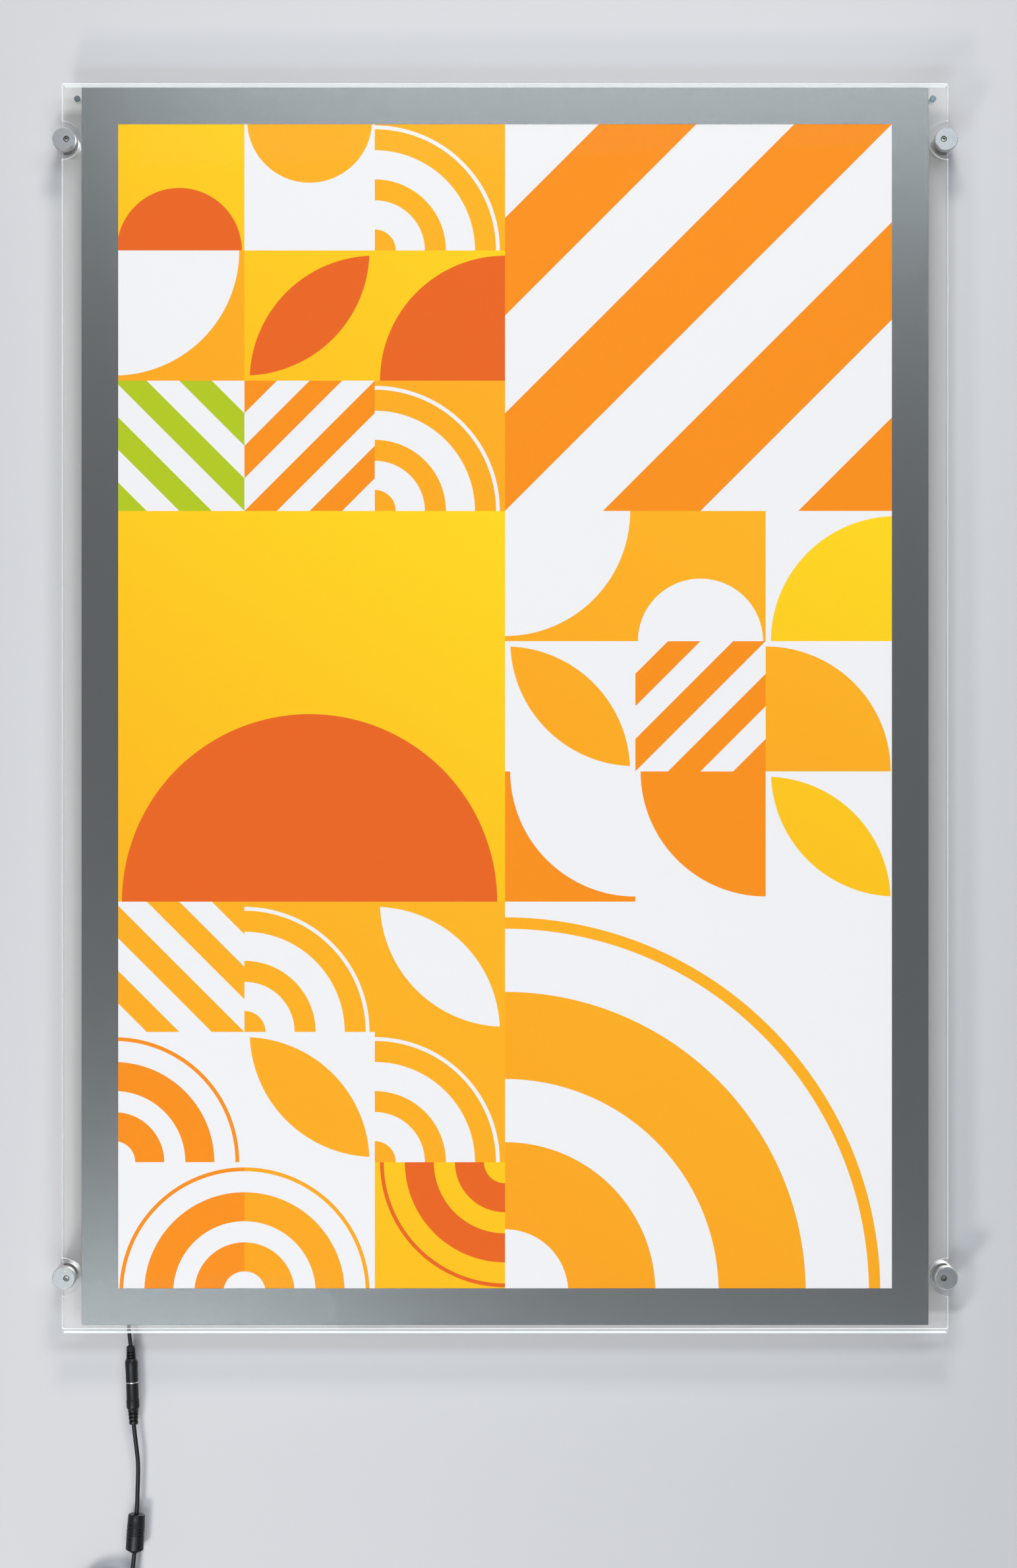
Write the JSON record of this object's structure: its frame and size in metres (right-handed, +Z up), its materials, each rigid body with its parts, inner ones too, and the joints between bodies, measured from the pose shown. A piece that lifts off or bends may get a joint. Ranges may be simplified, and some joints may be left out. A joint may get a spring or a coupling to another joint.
{
  "type": "light box",
  "caption": "Slim wall-hung poster light box: clear acrylic back and lift-off cover with a grey border, edge-grip aluminium standoffs, lit poster, and a black low-voltage lead.",
  "frame": {"origin": "on the wall plane, at the centre of the four standoffs", "axes": "+X to the right of someone who looks at the picture, +Y into the wall, +Z up; the picture faces -Y"},
  "size_m": [0.7044, 0.0517, 1.3007],
  "materials": {
    "clear_acrylic": "clear, polished",
    "border_ink": "printed grey under clear acrylic",
    "poster_film": null,
    "white_sheet": "matt white",
    "white_foam": "foam",
    "satin_aluminium": "satin",
    "led_board": "white solder mask",
    "screw_steel": "dark steel",
    "nylon": "natural",
    "magnet_plate": "nickel-plated",
    "nickel_plate": "nickel-plated",
    "black_rubber": "matt",
    "black_pvc": "soft gloss",
    "black_shell": "fine grain"
  },
  "bodies": {
    "box": {"back_magnet_left": "magnet_plate", "back_magnet_right": "magnet_plate", "back_panel": "clear_acrylic", "cable_grommet": "black_rubber", "dc_jack": "black_pvc", "diffuser": "white_sheet", "guide_block_left": "white_foam", "guide_block_right": "white_foam", "jack_pin": "nickel_plate", "led_board_left": "led_board", "led_board_right": "led_board", "led_rail_left": "satin_aluminium", "led_rail_right": "satin_aluminium", "light_guide": "clear_acrylic", "link_wire_left": "black_pvc", "link_wire_right": "black_pvc", "pigtail": "black_pvc", "poster": "poster_film", "reflector": "white_sheet", "standoff_bottom_left": "satin_aluminium", "standoff_bottom_right": "satin_aluminium", "standoff_top_left": "satin_aluminium", "standoff_top_right": "satin_aluminium", "wall_base_bottom_left": "satin_aluminium", "wall_base_bottom_right": "satin_aluminium", "wall_base_top_left": "satin_aluminium", "wall_base_top_right": "satin_aluminium", "wire_splice": "black_rubber"},
    "cover": {"front_cover": "clear_acrylic", "border_print": "border_ink", "cover_magnet_left": "magnet_plate", "cover_magnet_right": "magnet_plate"},
    "screw_top_left": {"set_screw_top_left": "screw_steel", "pressure_pad_top_left": "nylon"},
    "screw_top_right": {"set_screw_top_right": "screw_steel", "pressure_pad_top_right": "nylon"},
    "screw_bottom_left": {"set_screw_bottom_left": "screw_steel", "pressure_pad_bottom_left": "nylon"},
    "screw_bottom_right": {"set_screw_bottom_right": "screw_steel", "pressure_pad_bottom_right": "nylon"},
    "plug": {"plug_barrel": "nickel_plate", "dc_plug": "black_pvc", "supply_lead": "black_pvc", "ferrite_bead": "black_pvc", "lead_coil": "black_pvc", "coil_tie": "black_pvc", "adapter_tail": "black_pvc", "adapter_relief": "black_pvc", "adapter_case_rear": "black_shell", "adapter_case_front": "black_shell", "adapter_blade_left": "nickel_plate", "adapter_blade_right": "nickel_plate"}
  },
  "joints": [
    {"name": "cover_lift_off", "type": "slide", "parent": "box", "child": "cover", "axis": [0, -1, 0], "range_m": [0, 0.06]},
    {"name": "screw_turn_out_top_left", "type": "slide", "parent": "box", "child": "screw_top_left", "axis": [0, -1, 0], "range_m": [0, 0.003]},
    {"name": "screw_turn_out_top_right", "type": "slide", "parent": "box", "child": "screw_top_right", "axis": [0, -1, 0], "range_m": [0, 0.003]},
    {"name": "screw_turn_out_bottom_left", "type": "slide", "parent": "box", "child": "screw_bottom_left", "axis": [0, -1, 0], "range_m": [0, 0.003]},
    {"name": "screw_turn_out_bottom_right", "type": "slide", "parent": "box", "child": "screw_bottom_right", "axis": [0, -1, 0], "range_m": [0, 0.003]},
    {"name": "plug_pull", "type": "slide", "parent": "box", "child": "plug", "axis": [0.0384, 0, -0.9993], "range_m": [0, 0.012]}
  ]
}
